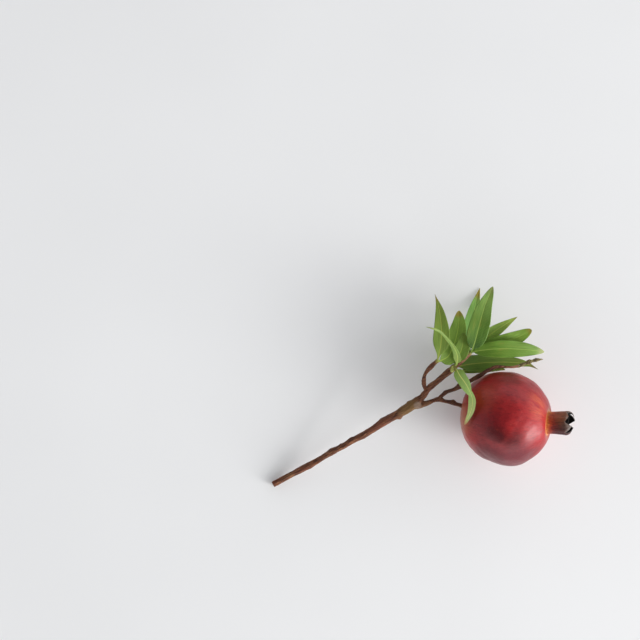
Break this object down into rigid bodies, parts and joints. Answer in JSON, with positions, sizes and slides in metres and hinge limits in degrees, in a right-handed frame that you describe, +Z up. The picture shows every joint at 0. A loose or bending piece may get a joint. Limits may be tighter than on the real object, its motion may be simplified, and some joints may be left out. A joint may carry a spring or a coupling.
{
  "type": "pomegranate",
  "caption": "A ripe pomegranate with its dried crown, on a cut woody twig with buds and narrow green leaves, lying on a table",
  "frame": {"origin": "centre of the flat spot under the fruit, on the table", "axes": "+X runs towards the crown along the length of the sprig, +Y towards the leaves, +Z up"},
  "size_m": [0.2921, 0.199, 0.0887],
  "materials": {
    "rind": "satin, leathery rind, maroon to red-orange near the crown",
    "dry_crown": "dry and papery, brown-red to grey at the lobes",
    "bark": "matte brown bark",
    "bud_scale": "matte, scaly, olive green",
    "leaf_green": "satin leaf green with a paler midrib"
  },
  "bodies": {
    "root": {"fruit": "rind", "calyx_crown": "dry_crown", "woody_stem": "bark", "shoot_tip_bud": "bud_scale", "node_bud": "bud_scale", "leaf_left_outer": "leaf_green", "leaf_left_inner": "leaf_green", "leaf_back_low": "leaf_green", "leaf_front_tall": "leaf_green", "leaf_twisted": "leaf_green", "leaf_over_fruit": "leaf_green", "leaf_right_upper": "leaf_green", "leaf_right_blunt": "leaf_green", "leaf_right_long": "leaf_green", "leaf_right_low": "leaf_green", "leaf_under_shoot": "leaf_green", "leaf_inner_upright": "leaf_green"}
  },
  "joints": []
}
